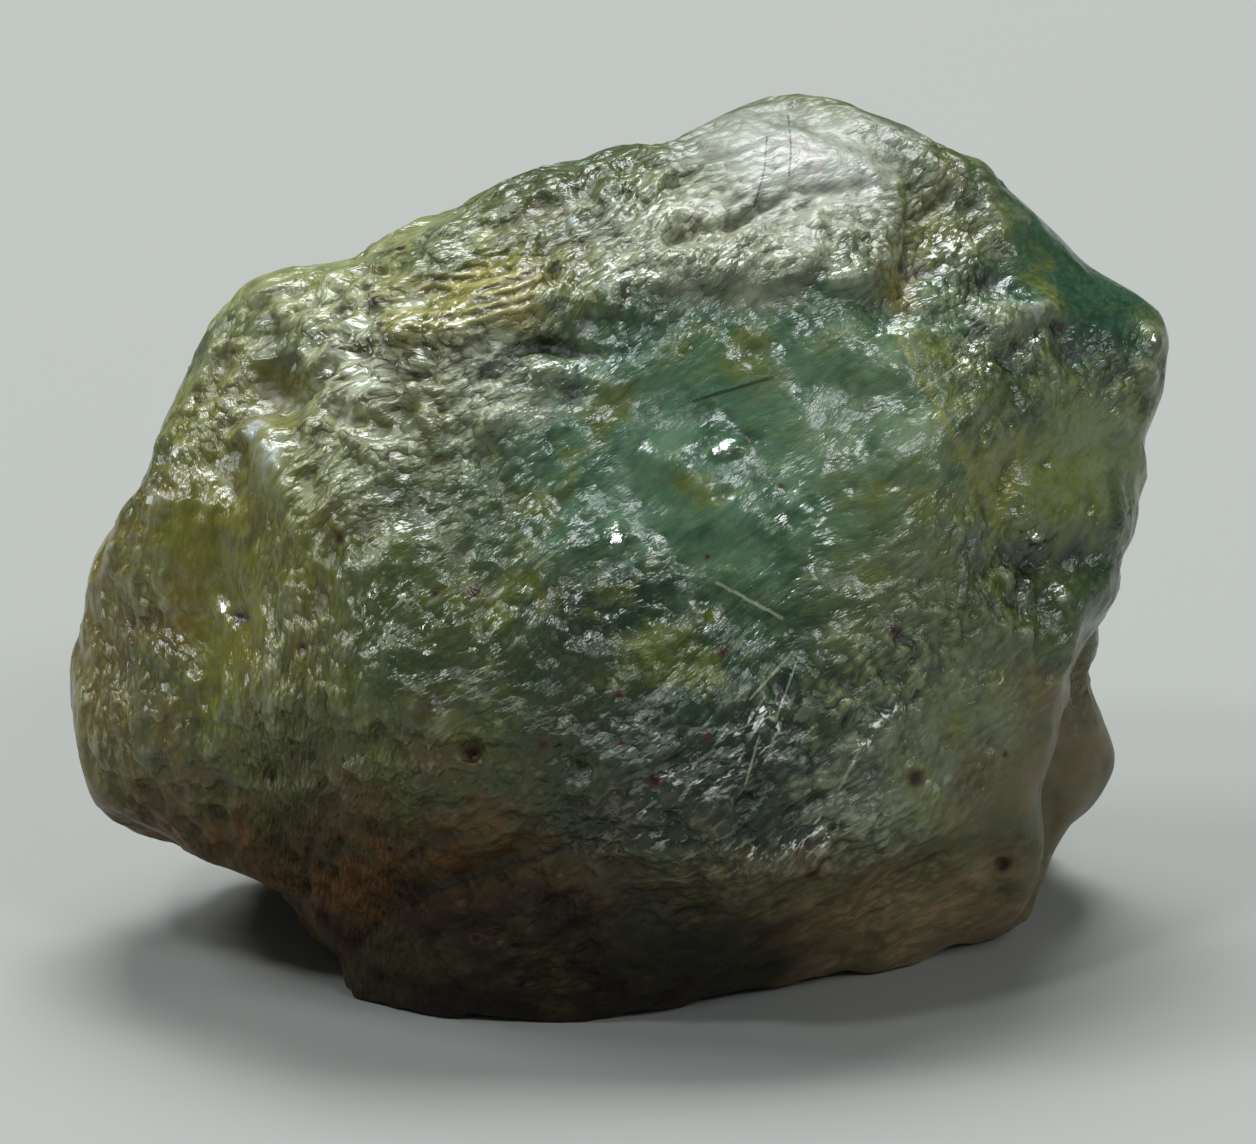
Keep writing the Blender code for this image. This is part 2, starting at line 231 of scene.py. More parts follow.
def roughness(across, up, facing):  # share of the relief that stands at a place, less round the rim
    left = 0.25 + 0.75 * ease(abs(facing), 0.05, 0.60)
    for middle, reach, turn, share in wear.values():
        left *= 1.0 - oval(across, up, middle, reach, turn, 0.45) * (1.0 - share)
    worn = 0.15 + 0.35 * ease(across, -1.0, 3.0)
    return left * (1.0 - belowEdge(across, up) * worn)


# places where tiny steps face the light and glitter, and are painted pale there as a painted glint: middle,
# reach, turn, how much
glitter = {
    "foot of the band": ((1.1, 3.92), (2.6, 0.20), 2.0, 0.5),
    "band": ((1.5, 4.45), (2.6, 0.60), 4.0, 0.25),
    "crown": ((2.1, 5.35), (1.2, 0.60), -5.0, 0.15),
    "streaked patch": ((2.32, 0.61), (0.42, 0.24), 12.0, 0.9),
    "centre spot": ((1.40, 1.50), (0.26, 0.10), 15.0, 0.9),
    "centre blob": ((-0.05, 0.29), (0.11, 0.19), 0.0, 1.0),
    "low left row": ((0.50, -3.72), (1.00, 0.20), 6.0, 1.0),
    "low middle row": ((1.75, -3.95), (0.90, 0.22), 5.0, 1.0),
    "low right row": ((2.90, -3.50), (1.05, 0.34), 28.0, 1.0),
    "climbing row": ((3.45, -2.25), (1.05, 0.15), 50.0, 1.0),
    "climbing row, lower": ((4.10, -3.17), (0.45, 0.14), 36.0, 1.0),
    "climbing row, right": ((4.90, -1.58), (0.50, 0.16), 18.0, 0.9),
    "by the needles": ((1.75, -2.35), (0.80, 0.45), 35.0, 0.9),
    "lower centre": ((0.90, -3.00), (1.10, 0.36), 20.0, 0.85),
    "pale ledge": ((-1.00, 2.52), (0.95, 0.16), -9.0, 0.8),
    "shoulder lumps": ((-2.75, 2.95), (0.75, 0.32), 15.0, 0.8),
    "shoulder": ((-3.60, 2.80), (0.90, 0.60), 0.0, 0.75),
    "left middle": ((-3.10, -0.60), (0.50, 0.26), 15.0, 0.8),
    "left middle row": ((-3.00, -1.05), (0.95, 0.10), 14.0, 0.8),
    "left edge row": ((-4.50, -3.02), (0.45, 0.09), 0.0, 0.9),
    "left edge row, right": ((-3.60, -2.72), (0.28, 0.08), 25.0, 0.9),
    "right shoulder": ((5.20, 2.90), (0.80, 0.36), 20.0, 0.8),
    "right slab": ((5.45, 3.35), (0.45, 0.22), 25.0, 0.7),
    "facet by the groove": ((4.40, 4.25), (0.26, 0.36), -35.0, 0.8),
    "right lumps": ((5.47, -0.60), (0.12, 0.55), 0.0, 0.8),
    "right lump": ((5.95, -0.50), (0.12, 0.22), 0.0, 0.8),
    "right chip": ((5.60, 0.31), (0.14, 0.09), 8.0, 1.0),
    "left star": ((-6.01, 1.46), (0.14, 0.12), 0.0, 1.0),
    "left star, lower": ((-6.35, 0.83), (0.16, 0.14), 0.0, 1.0),
    "knob": ((-4.67, 1.45), (0.20, 0.34), 0.0, 0.45),
    "left tip": ((-6.95, -2.45), (0.40, 0.50), 0.0, 0.6),
}

strewn = 0.42  # how much the rough skin outside those places glitters


def glittering(across, up, onFront, share, cluster):  # 1 where the tiny steps glitter
    most = ease(cluster, 0.53, 0.66) * share * (1.0 - belowEdge(across, up)) * strewn
    for middle, reach, turn, much in glitter.values():
        most = np.maximum(most, oval(across, up, middle, reach, turn, 0.5) * onFront * much)
    return most


relief = {  # all in millimetres
    "Ridge Length": 1.15,
    "Ridge Width": 0.52,
    "Ridge Height": 0.130,
    "Rib Length": 0.36,
    "Rib Width": 0.20,
    "Rib Height": 0.026,
    "Flake Size": 0.45,
    "Flake Tilt": 0.050,
    "Lump Size": 0.72,
    "Lump Height": 0.34,
    "Sink": 0.10,
    "Pit Spacing": 0.62,
    "Pit Depth": 0.035,
}
relieving = {"cuts": 3, "softening": 3, "seed": 11}


def tone(red, green, blue):  # a colour as a paint card gives it, 0 to 255, made linear
    return tuple(((part / 255.0) ** 2.2) for part in (red, green, blue)) + (1.0,)


# the stone's colours and the ovals of the front that they lie in: middle, reach, turn, softness,
# colour, share
tints = {
    "grey green": ((0.0, 0.0), (20.0, 20.0), 0.0, 0.1, tone(70, 88, 54), 1.0),
    "teal heart": ((1.9, 1.7), (3.6, 2.1), 8.0, 0.5, tone(104, 138, 112), 0.9),
    "pale heart": ((3.7, 1.9), (1.4, 1.5), 0.0, 0.6, tone(128, 146, 114), 0.55),
    "teal foot": ((2.1, -1.9), (2.9, 1.3), 20.0, 0.5, tone(60, 86, 64), 0.8),
    # darker towards the front's lower edge, where it turns under: partly painted shade
    "dark foot": ((1.2, -3.2), (3.0, 1.1), 12.0, 0.5, tone(34, 48, 34), 0.85),
    "dark low left": ((-1.4, -2.0), (1.8, 1.0), 10.0, 0.6, tone(44, 56, 34), 0.75),
    "dark gap": ((0.0, -0.9), (1.4, 0.75), -20.0, 0.6, tone(34, 58, 36), 0.8),
    "teal corner": ((6.1, 4.0), (1.5, 1.3), -35.0, 0.4, tone(62, 92, 74), 0.9),
    "olive shoulder": ((-3.8, 3.0), (2.6, 1.9), 20.0, 0.4, tone(180, 184, 136), 0.85),
    "yellow ridges": ((-2.0, 3.55), (1.1, 0.55), 10.0, 0.5, tone(160, 148, 70), 0.75),
    "pale shoulder": ((-2.8, 2.4), (1.5, 0.7), -10.0, 0.6, tone(208, 214, 192), 0.7),
    "olive below the shoulder": ((-3.4, 0.9), (1.5, 1.2), 10.0, 0.5, tone(110, 122, 80), 0.7),
    "olive face": ((-5.0, 0.1), (1.3, 2.6), 8.0, 0.4, tone(126, 122, 64), 0.9),
    "brown flank": ((-6.9, -0.9), (0.9, 2.6), 0.0, 0.5, tone(136, 118, 70), 0.85),
    "sage cheek": ((6.2, 1.4), (1.2, 0.95), 0.0, 0.4, tone(140, 152, 112), 0.9),
    "olive right": ((5.0, 2.2), (0.8, 1.0), 20.0, 0.7, tone(104, 108, 56), 0.6),
    "yellow fracture": ((4.9, 1.1), (0.35, 0.8), 20.0, 0.7, tone(140, 138, 58), 0.6),
    "gold groove": ((4.00, 4.15), (0.20, 0.90), -28.0, 0.6, tone(138, 116, 30), 0.85),
    # painted sheen: the band's pale silver stands for the light that it throws back
    "painted band sheen": ((1.75, 4.45), (2.5, 0.75), 4.0, 0.4, tone(188, 192, 168), 0.85),
    "olive band": ((-0.9, 4.4), (0.8, 0.55), 0.0, 0.6, tone(92, 96, 58), 0.80),
    # painted sheen: the crown's pale silver stands for the light that it throws back
    "painted crown sheen": ((2.4, 5.3), (1.5, 0.9), -8.0, 0.4, tone(182, 186, 176), 0.85),
    "rose patch": ((2.5, 5.15), (0.26, 0.32), 0.0, 0.7, tone(224, 204, 208), 0.4),
    "taupe right": ((4.0, -0.7), (1.4, 1.5), 0.0, 0.6, tone(118, 126, 90), 0.7),
    "dark nook": ((5.6, 0.10), (0.8, 0.5), 0.0, 0.4, tone(38, 56, 32), 0.8),
    # painted highlight on the slab
    "painted slab highlight": ((5.45, 3.35), (0.45, 0.18), 25.0, 0.3, tone(196, 206, 198), 0.7),
    "taupe low right": ((4.9, -2.6), (1.0, 1.7), -25.0, 0.5, tone(124, 126, 98), 0.75),
    "silver low right": ((3.6, -2.9), (1.5, 0.8), 38.0, 0.5, tone(144, 154, 130), 0.5),
    "lobe": ((6.3, -2.7), (0.9, 1.4), 0.0, 0.4, tone(116, 112, 84), 0.85),
    "hollow": ((-4.62, 2.30), (0.34, 0.44), -30.0, 0.5, tone(88, 78, 26), 0.8),
    # painted highlight: the knob's pale blue white
    "knob": ((-4.66, 1.40), (0.24, 0.34), 0.0, 0.5, tone(220, 230, 234), 0.85),
    "pale streak": ((-4.55, -0.80), (0.26, 1.10), 10.0, 0.7, tone(150, 150, 100), 0.5),
}
frontOnly = ("rose patch", "gold groove", "yellow ridges", "pale shoulder", "painted crown sheen", "knob",
             "painted slab highlight")
blotches = {
    "olive": tone(120, 126, 64),
    "oliveShare": 0.65,
    "bottle": tone(42, 74, 50),
    "bottleShare": 0.60,
    "richness": 1.22,      # above 1 the colours are purer than their tones
    "fray": 2.6,           # mm that the borders of the colours stray
}
# the underside's colours; its near black is painted shade, low under the front
undersideTints = {
    "brown": tone(116, 76, 32),
    "olive": tone(86, 76, 40),
    "nearBlack": tone(28, 16, 8),
    "bottle": tone(30, 42, 28),
    "taupe": tone(190, 160, 120),
    "sage": tone(154, 142, 104),
    "clay": tone(126, 116, 88),
    "moss": tone(78, 92, 62),
}

patches = {  # further ovals that stoneTint uses: middle, reach, turn, softness
    "clean crown": ((2.2, 5.3), (1.6, 0.9), 4.0, 0.3),
    "clean foot": ((1.3, -3.2), (2.8, 1.2), 15.0, 0.3),
    "clay": ((6.0, -2.9), (1.9, 1.8), 0.0, 0.5),
    # painted shade: near black low under the front
    "nearBlack": ((-0.9, -5.6), (3.4, 1.5), 10.0, 0.5),
    "bottle": ((1.1, -5.3), (1.1, 0.8), 0.0, 0.5),
}


def stoneTint(across, up, out, fray, clouds):  # the broad colours, their borders frayed
    strayAcross = across + (fray[:, 0] - 0.5) * blotches["fray"]
    strayUp = up + (fray[:, 1] - 0.5) * blotches["fray"]
    onFront = ease(out, -0.5, 0.5)
    blotch, mottle = clouds[:, 0], clouds[:, 1]
    colour = np.tile(np.array(tints["grey green"][4][:3]), (len(across), 1))
    for name, (middle, reach, turn, soft, shade, share) in tints.items():
        if name == "grey green":
            continue
        patch = oval(strayAcross, strayUp, middle, reach, turn, soft) * share
        if name in frontOnly:
            patch = patch * onFront
        colour = blend(colour, patch, shade)
    clean = 1.0 - oval(across, up, *patches["clean crown"]) * 0.8
    clean = clean * (1.0 - oval(across, up, *patches["clean foot"]) * 0.8)
    colour = blend(colour, ease(blotch, 0.52, 0.64) * clean * blotches["oliveShare"], blotches["olive"])
    colour = blend(colour, ease(blotch, 0.47, 0.36) * clean * blotches["bottleShare"], blotches["bottle"])
    brown, olive, nearBlack, bottle, taupe, sage, clay, moss = [
        np.array(shade[:3]) for shade in undersideTints.values()]
    leftLow = blend(brown, ease(mottle, 0.42, 0.56), olive)
    rightLow = blend(taupe, ease(mottle, 0.40, 0.60), sage)
    low = blend(leftLow, ease(strayAcross, 0.6, 3.6), rightLow)
    mossy = blend(clay, ease(mottle, 0.44, 0.60) * 0.75, moss)
    low = blend(low, oval(across, up, *patches["clay"]), mossy)
    # painted shade: near black low under the front, mottled
    underShade = oval(strayAcross, strayUp, *patches["nearBlack"])
    low = blend(low, underShade * (0.5 + 0.5 * ease(mottle, 0.60, 0.44)), nearBlack)
    low = blend(low, oval(strayAcross, strayUp, *patches["bottle"]) * 0.8, bottle)
    low = blend(low, ease(mottle, 0.40, 0.30) * 0.7, nearBlack)
    grey = colour @ np.array((0.3, 0.6, 0.1))
    colour = np.maximum(grey[:, None] + (colour - grey[:, None]) * blotches["richness"], 0.0)
    film = belowEdge(strayAcross, up - 0.5 + (strayUp - up) * 1.8) * 0.5
    colour = blend(colour, film, brown)
    return blend(colour, belowEdge(across, up + (strayUp - up) * 1.1) * 0.95, low)


# the colour painted into the hollows, partly stain and partly painted shade: olive and brown on the left,
# taupe low on the right, else black green
def stainAndShade(across, up):
    leftward = ease(across + up * 0.25, 0.0, -3.0)
    onTop = ease(up - across * 0.14, 3.0, 3.8)
    olive = np.maximum(leftward, onTop * 0.8)
    shade = blend(np.array(tone(18, 30, 20)[:3]), olive, tone(98, 92, 50))
    below = belowEdge(across, up)
    shade = blend(shade, below, tone(44, 30, 14))
    return blend(shade, below * ease(across, 1.0, 4.0), tone(104, 90, 64))


def wornSkinTree():  # geometry nodes: raises ridges, ribs, lumps, flakes and pits over the blank
    tree = bpy.data.node_groups.new("wornSkin", "GeometryNodeTree")
    tree.interface.new_socket("Geometry", in_out="INPUT", socket_type="NodeSocketGeometry")
    for name, value in relief.items():
        socket = tree.interface.new_socket(name, in_out="INPUT", socket_type="NodeSocketFloat")
        socket.default_value = value
    for name in ("Softening", "Seed"):
        tree.interface.new_socket(name, in_out="INPUT", socket_type="NodeSocketInt")
    tree.interface.new_socket("Skin", in_out="INPUT", socket_type="NodeSocketMaterial")
    tree.interface.new_socket("Geometry", in_out="OUTPUT", socket_type="NodeSocketGeometry")

    sheet = Sheet(tree)
    given = sheet.node("NodeGroupInput")
    body, along, share = [
        sheet.node("GeometryNodeInputNamedAttribute", {"data_type": kind}, {"Name": name})
        for name, kind in (("body", "FLOAT_VECTOR"), ("grain", "FLOAT_VECTOR"), ("share", "FLOAT"))]
    place = sheet.node("GeometryNodeInputPosition")
    softened = sheet.node("GeometryNodeBlurAttribute", {"data_type": "FLOAT_VECTOR"},
                          {"Value": place, "Iterations": given.output("Softening")})
    blank = sheet.node("GeometryNodeSetPosition", {}, {"Geometry": given, "Position": softened})
    shift = given.output("Seed") * 3.7
    along = sheet.vector("ADD", along, sheet.join(shift, -shift, 0.0))

    def drawn(start, length, width):  # the place in lengths and widths of one feature
        size = sheet.join(given.output(length), given.output(width), given.output(width))
        return sheet.vector("DIVIDE", start, size)

    ridge = sheet.noise(drawn(along, "Ridge Length", "Ridge Width"), detail=1.0)
    ridge = (0.72 - abs(ridge - 0.5) * 4.0) * given.output("Ridge Height")
    rib = sheet.noise(drawn(along, "Rib Length", "Rib Width"), detail=2.0)
    rib = (rib - 0.5) * 2.0 * given.output("Rib Height")
    lumps = sheet.noise(drawn(body, "Lump Size", "Lump Size"), detail=1.0)
    lumps = abs(lumps - 0.5) * given.output("Lump Height")

    flakePlace = drawn(along, "Flake Size", "Flake Size")
    flake = sheet.chips(flakePlace)
    tilt = sheet.vector("SUBTRACT", flake.output("Color"), (0.5, 0.5, 0.5))
    offset = sheet.vector("SUBTRACT", flakePlace, flake.output("Position"))
    flakes = sheet.dot(offset, tilt) * 3.0 * given.output("Flake Tilt")
    pits = sheet.chips(drawn(body, "Pit Spacing", "Pit Spacing"))
    pits = sheet.step(pits, 0.24, 0.10) * given.output("Pit Depth")

    foot = sheet.dot(place, (0.0, 0.0, 1.0))
    sunk = given.output("Sink") * sheet.calc("MAXIMUM", share - 0.3, 0.0)
    raised = (ridge + rib + flakes + lumps) * share - sunk - pits
    height = raised * sheet.step(foot, 0.02 * mm, 0.5 * mm) * mm
    normal = sheet.node("GeometryNodeInputNormal")
    offset = sheet.scaled(normal, height)
    moved = sheet.node("GeometryNodeSetPosition", {}, {"Geometry": blank, "Offset": offset})
    for name, size, detail in (("fray", 0.9, 3.0), ("clouds", 1.2, 4.0)):
        drift = sheet.noise(body, size=size, detail=detail, rough=0.65).output("Color")
        moved = sheet.node("GeometryNodeStoreNamedAttribute",
                           {"data_type": "FLOAT_VECTOR", "domain": "POINT"},
                           {"Geometry": moved, "Name": name, "Value": drift})
    moved = sheet.node("GeometryNodeSetShadeSmooth", {}, {"Geometry": moved})
    moved = sheet.node("GeometryNodeRealizeInstances", {}, {"Geometry": moved})
    moved = sheet.node("GeometryNodeSetMaterial", {}, {"Geometry": moved, "Material": given.output("Skin")})
    end = tree.nodes.new("NodeGroupOutput")
    tree.links.new(moved.socket, end.inputs["Geometry"])
    return tree


# single forms on the front: (across, up), reach along and beside, turn in degrees, height in mm
forms = {
    "left knob": ((-4.69, 1.47), 0.24, 0.30, 0.0, 0.10),
    "left knob below": ((-4.53, 0.95), 0.20, 0.16, 0.0, 0.05),
    "left knob third": ((-4.35, 0.36), 0.20, 0.24, -10.0, 0.06),
    "pale ridge top": ((-4.42, -0.35), 0.14, 0.50, 12.0, 0.06),
    "pale ridge foot": ((-4.64, -1.35), 0.14, 0.50, 8.0, 0.06),
    "brown hollow": ((-4.66, 2.32), 0.34, 0.46, -30.0, -0.15),
    "upper lump one": ((-3.03, 2.99), 0.26, 0.16, 30.0, 0.10),
    "upper lump two": ((-2.30, 3.01), 0.26, 0.14, 10.0, 0.10),
    "upper lump three": ((-2.75, 2.71), 0.24, 0.14, 40.0, 0.08),
    "upper lump four": ((-3.67, 1.01), 0.24, 0.14, 15.0, 0.08),
    "upper lump five": ((-1.66, 1.91), 0.16, 0.14, 0.0, 0.10),
    "pale ledge": ((-1.07, 2.55), 0.80, 0.13, -9.0, 0.12),
    "gap over ledge": ((-0.80, 2.83), 0.50, 0.10, -9.0, -0.12),
    "crevice": ((-3.32, 1.80), 0.42, 0.12, -10.0, -0.09),
    "bright slab": ((5.45, 3.35), 0.46, 0.20, 25.0, 0.10),
    "pit by the slab": ((5.96, 3.16), 0.12, 0.10, 0.0, -0.16),
    "rim lump": ((7.25, 2.97), 0.12, 0.20, 0.0, 0.10),
    "rim lump below": ((7.17, 2.50), 0.12, 0.22, 0.0, 0.10),
    "right chip": ((5.60, 0.31), 0.13, 0.09, 10.0, 0.10),
    "right lump": ((5.47, -0.30), 0.10, 0.20, 0.0, 0.10),
    "right lump below": ((5.47, -0.97), 0.10, 0.20, 0.0, 0.10),
    "right lump beside": ((5.95, -0.52), 0.13, 0.16, 0.0, 0.10),
    "big pit": ((-1.98, -2.59), 0.15, 0.15, 0.0, -0.22),
    "bright spot": ((1.46, 1.49), 0.20, 0.09, 15.0, 0.07),
    "bright blob": ((-0.05, 0.29), 0.10, 0.18, 0.0, 0.10),
    "left chip": ((-5.36, -0.72), 0.12, 0.20, 20.0, 0.12),
    "pit by the chip": ((-5.11, -0.78), 0.08, 0.10, 0.0, -0.12),
    "edge glint": ((-4.88, -3.03), 0.20, 0.07, 5.0, 0.06),
    "edge glint beside": ((-4.21, -3.03), 0.18, 0.07, 5.0, 0.06),
    "edge ridge": ((-3.62, -2.74), 0.22, 0.07, 25.0, 0.07),
    "slot": ((5.21, -4.15), 0.12, 0.09, 0.0, -0.14),
}


# lines on the front where one face breaks into another: path, reach above and below, height in mm
creases = {
    "foot of the band": ([(-3.1, 3.05), (-0.8, 3.50), (1.1, 3.90), (3.5, 3.78)], 0.25, 0.30, 0.06),
    "foot of the crown": (
        [(0.55, 4.36), (1.20, 4.51), (1.80, 4.76), (2.32, 4.99), (3.31, 5.11)], 0.60, 0.10, 0.10,
    ),
    "low terrace": ([(-0.2, -3.85), (0.9, -3.95), (2.2, -3.90), (3.3, -3.50)], 0.12, 0.50, 0.07),
    "climbing terrace": ([(2.7, -3.30), (3.2, -2.55), (4.0, -1.60)], 0.10, 0.45, 0.06),
}


def creaseHeight(across, up, path, above, below, tall):  # highest on the path, falling away on both sides
    nearest = np.full(len(across), 1e9)
    side = np.zeros(len(across))
    past = np.zeros(len(across))
    for leg, (start, end) in enumerate(zip(path[:-1], path[1:])):
        run = np.array(end) - np.array(start)
        length = math.hypot(*run)
        along = ((across - start[0]) * run[0] + (up - start[1]) * run[1]) / length
        offset = ((up - start[1]) * run[0] - (across - start[0]) * run[1]) / length
        beyond = np.maximum(-along, along - length)
        far = np.hypot(offset, np.maximum(beyond, 0.0))
        closer = far < nearest
        nearest = np.where(closer, far, nearest)
        side = np.where(closer, offset, side)
        atEnd = (leg == 0) * (along < 0.0) | (leg == len(path) - 2) * (along > length)
        past = np.where(closer, np.where(atEnd, beyond, 0.0), past)
    fall = np.exp(-nearest / np.where(side > 0.0, above, below))
    return tall * fall * np.exp(-(past / 0.35) ** 2)


def cutForms(points, normals):  # raises or sinks each named form along the skin's own normals
    across, up, out = leaning(points)
    facing = np.clip((normals @ np.array(outAxis) + 0.15) / 0.4, 0.0, 1.0) * (out > 0.0)
    height = np.zeros(len(points))
    for (middleAcross, middleUp), reachAlong, reachBeside, turn, tall in forms.values():
        cosine = math.cos(math.radians(turn))
        sine = math.sin(math.radians(turn))
        along = ((across - middleAcross) * cosine + (up - middleUp) * sine) / reachAlong
        beside = ((up - middleUp) * cosine - (across - middleAcross) * sine) / reachBeside
        height += tall * np.exp(-(along * along + beside * beside) ** 1.3)
    for path, above, below, tall in creases.values():
        height += creaseHeight(across, up, path, above, below, tall)
    return points + normals * (height * facing * mm)[:, None]


def hollowness(mesh, points, normals, rounds):  # above 0 on crests, below 0 in hollows, in 0.1 mm
    edges = np.empty(len(mesh.edges) * 2, dtype=np.int64)
    mesh.edges.foreach_get("vertices", edges)
    edges = edges.reshape(-1, 2)
    count = np.bincount(edges.ravel(), minlength=len(points)).astype(float)
    smooth = points.copy()
    for _ in range(rounds):
        total = np.zeros_like(smooth)
        for axis in range(3):
            total[:, axis] = np.bincount(edges[:, 0], smooth[edges[:, 1], axis], len(points))
            total[:, axis] += np.bincount(edges[:, 1], smooth[edges[:, 0], axis], len(points))
        smooth = 0.5 * smooth + 0.5 * total / count[:, None]
    return np.einsum("ij,ij->i", points - smooth, normals) / (0.1 * mm)


rustSpots = [  # small iron-stained spots: across, up, radius in mm
    (-1.98, -2.59, 0.15), (-3.75, 0.29, 0.08), (-1.95, -0.42, 0.08), (-2.47, -0.45, 0.07),
    (-4.24, -1.17, 0.06), (2.59, -4.20, 0.11), (3.97, -2.92, 0.12), (5.21, -2.63, 0.06),
    (3.68, -0.95, 0.08), (1.39, -1.21, 0.09), (0.46, -2.95, 0.10), (-0.75, 4.70, 0.06),
    (-2.99, 4.23, 0.09), (-3.35, 3.46, 0.09), (-1.24, 3.83, 0.09), (-3.08, 1.39, 0.07),
    (-0.01, -1.79, 0.09), (1.17, -2.37, 0.08), (-1.00, -2.48, 0.06), (0.01, -2.45, 0.06),
    (1.17, 0.04, 0.05), (2.15, 0.98, 0.05), (-5.11, -0.78, 0.08), (5.21, -4.15, 0.10),
    (5.96, 3.16, 0.09), (-4.20, -3.92, 0.10), (-3.95, -3.85, 0.07), (-3.10, -3.90, 0.08),
    (-2.78, -3.98, 0.11), (-1.95, -5.10, 0.08),
]
scratches = [  # fine bright lines: from, to, width in mm
    ((1.79, -1.81), (2.26, -1.28), 0.016), ((2.35, -1.39), (2.10, -2.09), 0.014),
    ((1.84, -2.43), (1.70, -2.93), 0.016), ((1.50, -2.30), (1.95, -2.12), 0.014),
    ((-1.09, -0.07), (-0.64, 0.26), 0.020), ((1.36, -0.34), (2.11, -0.75), 0.022),
    ((4.05, 2.28), (4.62, 2.66), 0.016), ((2.97, -3.00), (3.22, -2.51), 0.020),
]
veins = [  # healed fractures that show yellow green
    ((5.14, 0.59), (4.85, 1.05), 0.045), ((4.85, 1.05), (4.50, 1.62), 0.035),
    ((4.50, 1.62), (4.10, 2.35), 0.022), ((4.10, 2.35), (3.75, 3.00), 0.018),
    ((5.14, 0.59), (5.28, 1.00), 0.035), ((5.28, 1.00), (5.45, 1.75), 0.022),
    ((5.14, 0.59), (4.95, 0.20), 0.022), ((4.50, 1.62), (4.75, 1.10), 0.022),
]
# the stars are painted white as painted highlights; their faces are also turned to the light
stars = [  # tiny faces that flash white: across, up, radius
    (-6.01, 1.46, 0.075), (-6.35, 0.83, 0.085), (-6.22, 0.72, 0.035), (-4.69, 1.52, 0.07),
    (-0.05, 0.29, 0.085), (1.38, 1.52, 0.085), (1.28, 1.47, 0.05), (-1.66, 1.93, 0.055),
    (5.60, 0.31, 0.07), (-5.36, -0.66, 0.075), (7.25, 3.02, 0.05), (-3.83, 4.03, 0.035),
    (1.90, -2.02, 0.06),
]
cracks = [  # fine dark lines
    ((1.98, 5.65), (1.95, 5.25), 0.010), ((1.95, 5.25), (1.83, 4.83), 0.013),
    ((2.29, 5.97), (2.31, 5.60), 0.010), ((2.31, 5.60), (2.29, 5.25), 0.013),
    ((1.06, 2.15), (2.00, 2.43), 0.020), ((-0.82, -3.89), (-1.20, -4.02), 0.030),
    ((-1.20, -4.02), (-1.51, -4.12), 0.022), ((-1.51, -4.12), (-2.05, -4.30), 0.026),
    ((-2.05, -4.30), (-2.56, -4.51), 0.018),
]
crown = {"middle": (2.4, 5.3), "reach": (1.7, 1.1)}  # the satin dome at the top
comb = {  # the parallel curved ridges of the upper left
    "middle": (-2.05, 3.52),
    "reach": (1.00, 0.48),
    "turn": 10.0,
    "soft": 0.5,
    "climb": 0.10,
    "bow": 0.16,
    "gap": 0.165,      # mm between them
    "stray": 12.0,
    "height": 0.022,   # mm above and below the skin
    "cuts": 2,         # how much finer the mesh is cut there
}


def cutCombFiner(blank):  # the comb's ridges are finer than the mesh of the rest
    blank.verts.index_update()
    across, up, out = leaning(np.array([vert.co for vert in blank.verts]))
    near = (oval(across, up, comb["middle"], comb["reach"], comb["turn"], comb["soft"]) > 0.01) & (out > 0.0)
    edges = [edge for edge in blank.edges if all(near[vert.index] for vert in edge.verts)]
    bmesh.ops.subdivide_edges(blank, edges=edges, cuts=comb["cuts"], use_grid_fill=True)
    bmesh.ops.triangulate(blank, faces=[face for face in blank.faces if len(face.verts) > 3])


def raiseComb(mesh, points, normals):  # raises the comb's ridges and tells the skin where they lie
    across, up, out = leaning(points)
    fray = kept(mesh, "fray")
    onFront = ease(out, -0.5, 0.5) * ease(normals @ np.array(outAxis), 0.05, 0.35)
    offComb = across - comb["middle"][0]
    phase = (up - offComb * comb["climb"] - offComb * offComb * comb["bow"]) * 2.0 * math.pi / comb["gap"]
    phase = phase + (fray[:, 0] - 0.5) * comb["stray"]
    combed = oval(across, up, comb["middle"], comb["reach"], comb["turn"], comb["soft"]) * onFront
    combed = combed * ease(fray[:, 2], 0.36, 0.52)
    keep(mesh, "comb", phase, combed, np.zeros(len(points)))
    return points + normals * (np.sin(phase) * combed * comb["height"] * mm)[:, None]


def nearSpots(across, up, spots):  # distance to the nearest spot, over that spot's radius
    nearest = np.full(len(across), 9.0)
    for middleAcross, middleUp, radius in spots:
        nearest = np.minimum(nearest, np.hypot(across - middleAcross, up - middleUp) / radius)
    return nearest


def nearLines(across, up, lines):  # which side of the nearest line, in its widths, and how far in mm
    nearest = np.full(len(across), 9.0)
    side = np.full(len(across), 9.0)
    for start, end, width in lines:
        run = np.subtract(end, start)
        length = math.hypot(*run)
        along = np.clip(((across - start[0]) * run[0] + (up - start[1]) * run[1]) / length, 0.0, length)
        far = np.hypot(across - start[0] - along * run[0] / length, up - start[1] - along * run[1] / length)
        offset = ((up - start[1]) * run[0] - (across - start[0]) * run[1]) / length
        closer = far < nearest
        nearest = np.where(closer, far, nearest)
        side = np.where(closer, offset / width, side)
    return side, nearest


def keep(mesh, name, *parts):  # stores one number, a vector or a colour for each point
    kind = {1: "FLOAT", 3: "FLOAT_VECTOR", 4: "FLOAT_COLOR"}[len(parts)]
    field = {1: "value", 3: "vector", 4: "color"}[len(parts)]
    if name in mesh.attributes:
        mesh.attributes.remove(mesh.attributes[name])
    values = np.stack(parts, axis=1).astype(np.float32).ravel()
    mesh.attributes.new(name, kind, "POINT").data.foreach_set(field, values)


def kept(mesh, name):  # reads such a vector back
    values = np.empty(len(mesh.vertices) * 3, dtype=np.float32)
    mesh.attributes[name].data.foreach_get("vector", values)
    return values.reshape(-1, 3).astype(float)


